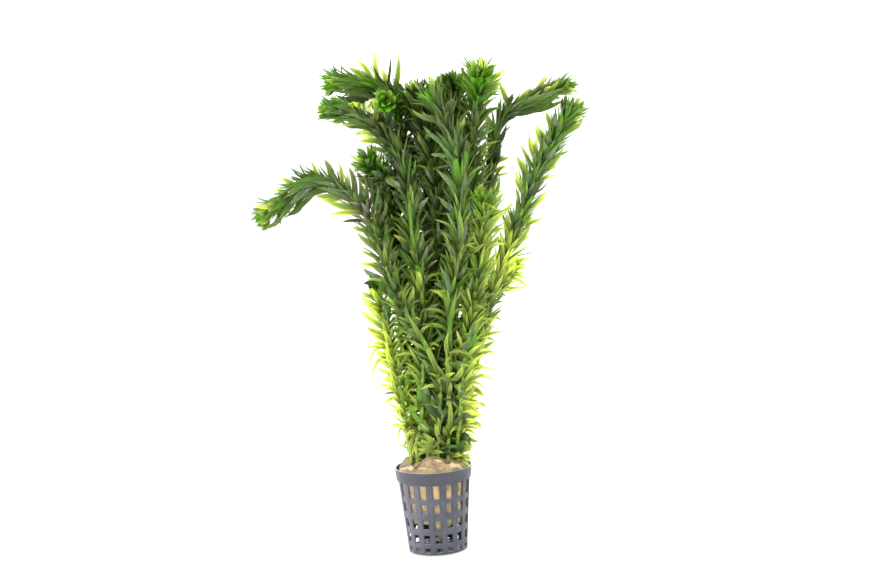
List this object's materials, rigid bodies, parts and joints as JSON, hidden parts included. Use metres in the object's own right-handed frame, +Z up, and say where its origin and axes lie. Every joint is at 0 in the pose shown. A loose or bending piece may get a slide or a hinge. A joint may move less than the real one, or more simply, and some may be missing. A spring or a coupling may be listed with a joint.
{
  "type": "potted aquarium plant",
  "caption": "Bunch of Brazilian waterweed stems with whorled leaves, rooted in a rockwool plug in a round slotted net pot.",
  "frame": {"origin": "centre of the pot's base, on the surface it stands on", "axes": "+Z up out of the pot, +X along the fan of stems to the right of the picture, +Y away from its viewer"},
  "size_m": [0.2108, 0.0833, 0.3184],
  "materials": {
    "pot_plastic": "satin",
    "rockwool": "matte",
    "deep_green": "satin",
    "fresh_green": "satin",
    "yellow_green": "satin",
    "olive_green": "satin"
  },
  "bodies": {
    "root": {"net_pot": "pot_plastic", "rockwool_plug": "rockwool", "stem_far_left": "deep_green", "stem_top_left_upper": "deep_green", "stem_top_left_lower": "deep_green", "stem_left_rosette": "fresh_green", "stem_left_edge": "yellow_green", "stem_front_rosette": "fresh_green", "stem_top_back": "deep_green", "stem_centre_front": "fresh_green", "stem_top_centre": "deep_green", "stem_top_rosette": "fresh_green", "stem_right_bent": "deep_green", "stem_far_right": "deep_green", "stem_right_rosette": "olive_green", "stem_right_low": "yellow_green", "stem_middle": "olive_green"}
  },
  "joints": []
}
